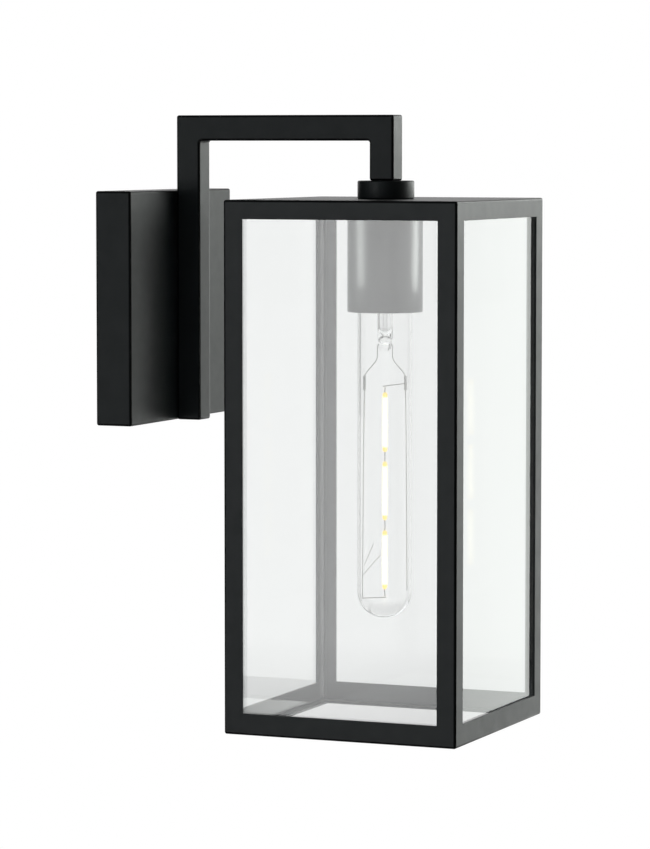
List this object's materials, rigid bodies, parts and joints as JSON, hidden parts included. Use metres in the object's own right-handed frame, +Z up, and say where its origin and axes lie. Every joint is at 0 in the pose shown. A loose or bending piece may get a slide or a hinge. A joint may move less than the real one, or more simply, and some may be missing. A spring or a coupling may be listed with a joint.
{
  "type": "outdoor wall lantern",
  "caption": "Square open-bottomed glass lantern hung by a collar from a square-tube arm on a boxed wall plate, lit by a screw-in tubular bulb.",
  "frame": {"origin": "centre of the wall bracket's back face, on the wall", "axes": "+Z up, +Y into the wall, so the light stands out towards -Y; +X is to the right for a person facing the wall"},
  "size_m": [0.1424, 0.2243, 0.3555],
  "materials": {
    "powder_black": "satin fine-texture black powder coat",
    "zinc_steel": "zinc-plated steel",
    "brass": "plain brass",
    "aluminium": "bright rolled aluminium",
    "pane_glass": "clear flat glass with pale green edges",
    "bulb_glass": "clear thin blown glass",
    "porcelain": "glazed cream porcelain",
    "vitrite": "glossy black glass insulator",
    "filament": "lit phosphor-coated light stick",
    "nickel_wire": "dull nickel wire",
    "ground_green": "green dyed zinc plating",
    "black_plastic": "moulded black nylon",
    "black_wire": "black wire insulation",
    "white_wire": "white wire insulation",
    "green_wire": "green wire insulation",
    "orange_plastic": "moulded orange plastic"
  },
  "bodies": {
    "root": {"wall_bracket": "zinc_steel", "arm_nut_bar": "zinc_steel", "arm_screw_upper": "zinc_steel", "arm_screw_lower": "zinc_steel", "arm_end_insert": "zinc_steel", "nipple": "zinc_steel", "lock_washer": "zinc_steel", "nipple_nut": "zinc_steel", "socket_bracket": "zinc_steel", "bracket_screw_left": "zinc_steel", "bracket_screw_right": "zinc_steel", "terminal_screw_neutral": "zinc_steel", "pane_clip_front": "zinc_steel", "pane_clip_right": "zinc_steel", "pane_clip_back": "zinc_steel", "pane_clip_left": "zinc_steel", "backplate": "powder_black", "backplate_screw_upper": "powder_black", "backplate_screw_lower": "powder_black", "arm_tube": "powder_black", "collar": "powder_black", "roof_plate": "powder_black", "socket_cup": "powder_black", "top_rail_front": "powder_black", "top_rail_right": "powder_black", "top_rail_back": "powder_black", "top_rail_left": "powder_black", "bottom_rail_front": "powder_black", "bottom_rail_right": "powder_black", "bottom_rail_back": "powder_black", "bottom_rail_left": "powder_black", "corner_post_front_right": "powder_black", "corner_post_back_right": "powder_black", "corner_post_back_left": "powder_black", "corner_post_front_left": "powder_black", "ground_screw": "ground_green", "wire_bushing": "black_plastic", "wire_nut_live": "orange_plastic", "wire_nut_neutral": "orange_plastic", "live_wire": "black_wire", "neutral_wire": "white_wire", "ground_wire": "green_wire", "lampholder_body": "porcelain", "lampholder_shell": "aluminium", "lampholder_contact": "brass", "terminal_screw_live": "brass", "glass_pane_front": "pane_glass", "glass_pane_right": "pane_glass", "glass_pane_back": "pane_glass", "glass_pane_left": "pane_glass"},
    "bulb_end": {"bulb_contact": "zinc_steel"},
    "bulb": {"bulb_glass": "bulb_glass", "bulb_cap": "aluminium", "bulb_insulator": "vitrite", "bulb_stem": "bulb_glass", "support_wire_left": "nickel_wire", "support_wire_right": "nickel_wire", "filament_upper": "filament", "filament_middle": "filament", "filament_lower": "filament"}
  },
  "joints": [
    {"name": "bulb_travel", "type": "slide", "parent": "root", "child": "bulb_end", "axis": [0, 0, -1], "range_m": [0, 0.0164]},
    {"name": "bulb_turn", "type": "hinge", "parent": "bulb_end", "child": "bulb", "pos_m": [0, -0.153, 0], "axis": [0, 0, -1], "range_deg": [0, 1620]}
  ],
  "couplings": [
    {"joint": "bulb_travel", "follows": "bulb_turn", "m_per_rad": 0.0005775}
  ]
}
